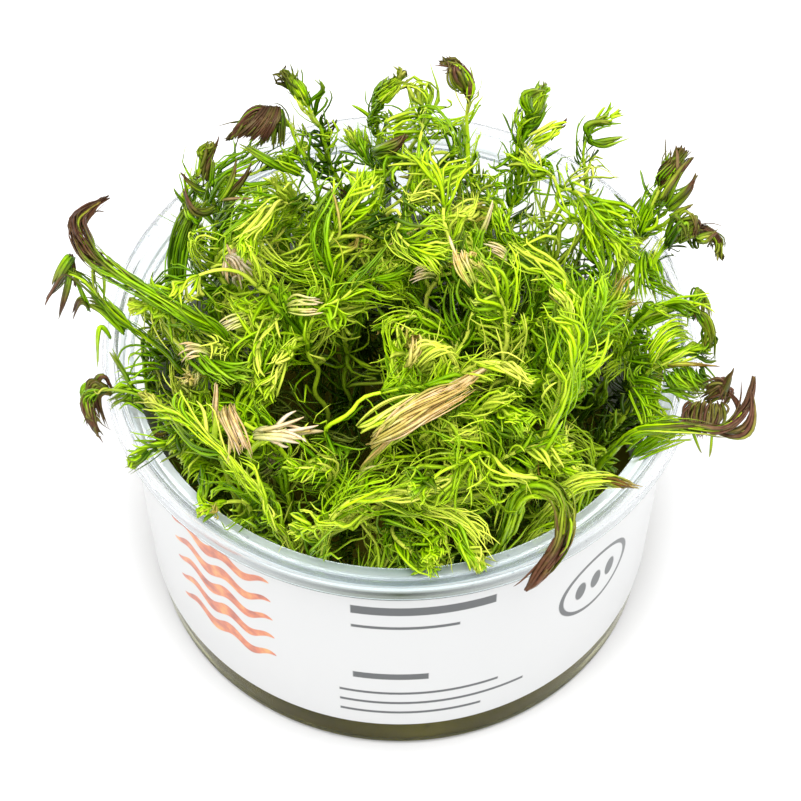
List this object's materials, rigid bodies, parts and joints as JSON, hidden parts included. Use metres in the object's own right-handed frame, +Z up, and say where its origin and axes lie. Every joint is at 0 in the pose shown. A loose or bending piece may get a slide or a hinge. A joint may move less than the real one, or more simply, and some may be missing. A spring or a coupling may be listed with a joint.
{
  "type": "rotala in a culture cup",
  "caption": "Clear round culture cup with a printed band, olive nutrient gel and a dense tangle of needle-leaved rotala shoots that rises out of the gel and spills over the stepped rim.",
  "frame": {"origin": "centre of the cup's flat base, on the surface that it stands on", "axes": "+Z up along the cup's axis; -Y is the side with the front of the label, +X is to the right seen from there"},
  "size_m": [0.1155, 0.1, 0.0901],
  "materials": {
    "clear_plastic": "clear, faintly hazy polypropylene, smooth",
    "label_film": "white printed film, satin",
    "nutrient_gel": "olive translucent gel, wet and smooth",
    "green_leaf": "bright lime green leaf, damp satin",
    "brown_tipped_leaf": "green leaf that turns purple-brown at the tip, wet",
    "dry_leaf": "dry tan leaf, matt"
  },
  "bodies": {
    "root": {"cup": "clear_plastic", "label": "label_film", "gel": "nutrient_gel", "shoot_left_hook": "brown_tipped_leaf", "shoot_left_fork": "green_leaf", "shoot_left_clump": "brown_tipped_leaf", "shoot_left_pink": "green_leaf", "shoot_back_left": "green_leaf", "shoot_back_left_pink": "dry_leaf", "shoot_back_left_hook": "brown_tipped_leaf", "shoot_back_one": "green_leaf", "shoot_back_two": "green_leaf", "shoot_back_tall": "brown_tipped_leaf", "shoot_back_right": "green_leaf", "shoot_back_right_thin": "green_leaf", "shoot_right_back": "green_leaf", "shoot_right_clump": "brown_tipped_leaf", "shoot_right_droop": "green_leaf", "shoot_right_brush": "green_leaf", "shoot_right_hook": "brown_tipped_leaf", "shoot_front_right_tip": "green_leaf", "shoot_front_drape": "brown_tipped_leaf", "shoot_front_green": "green_leaf", "shoot_front_left": "green_leaf", "shoot_dry_lying": "dry_leaf", "shoot_centre_fountain": "green_leaf", "shoot_dry_spread": "dry_leaf", "shoot_dry_upright": "dry_leaf", "shoot_lime_arch": "green_leaf", "shoot_yellow_whorl": "green_leaf", "shoot_lime_bend": "green_leaf", "shoot_front_lime": "green_leaf", "shoot_01": "green_leaf", "shoot_02": "green_leaf", "shoot_03": "green_leaf", "shoot_04": "green_leaf", "shoot_05": "green_leaf", "shoot_06": "green_leaf", "shoot_07": "green_leaf", "shoot_08": "green_leaf", "shoot_09": "green_leaf", "shoot_10": "green_leaf", "shoot_11": "green_leaf", "shoot_12": "green_leaf", "shoot_13": "green_leaf", "shoot_14": "green_leaf", "shoot_15": "green_leaf", "shoot_16": "green_leaf", "shoot_17": "green_leaf", "shoot_18": "green_leaf", "shoot_19": "green_leaf", "shoot_20": "green_leaf", "shoot_21": "green_leaf", "shoot_22": "green_leaf", "shoot_23": "green_leaf", "shoot_24": "green_leaf", "shoot_25": "green_leaf", "shoot_26": "green_leaf", "shoot_27": "green_leaf", "shoot_28": "green_leaf"}
  },
  "joints": []
}
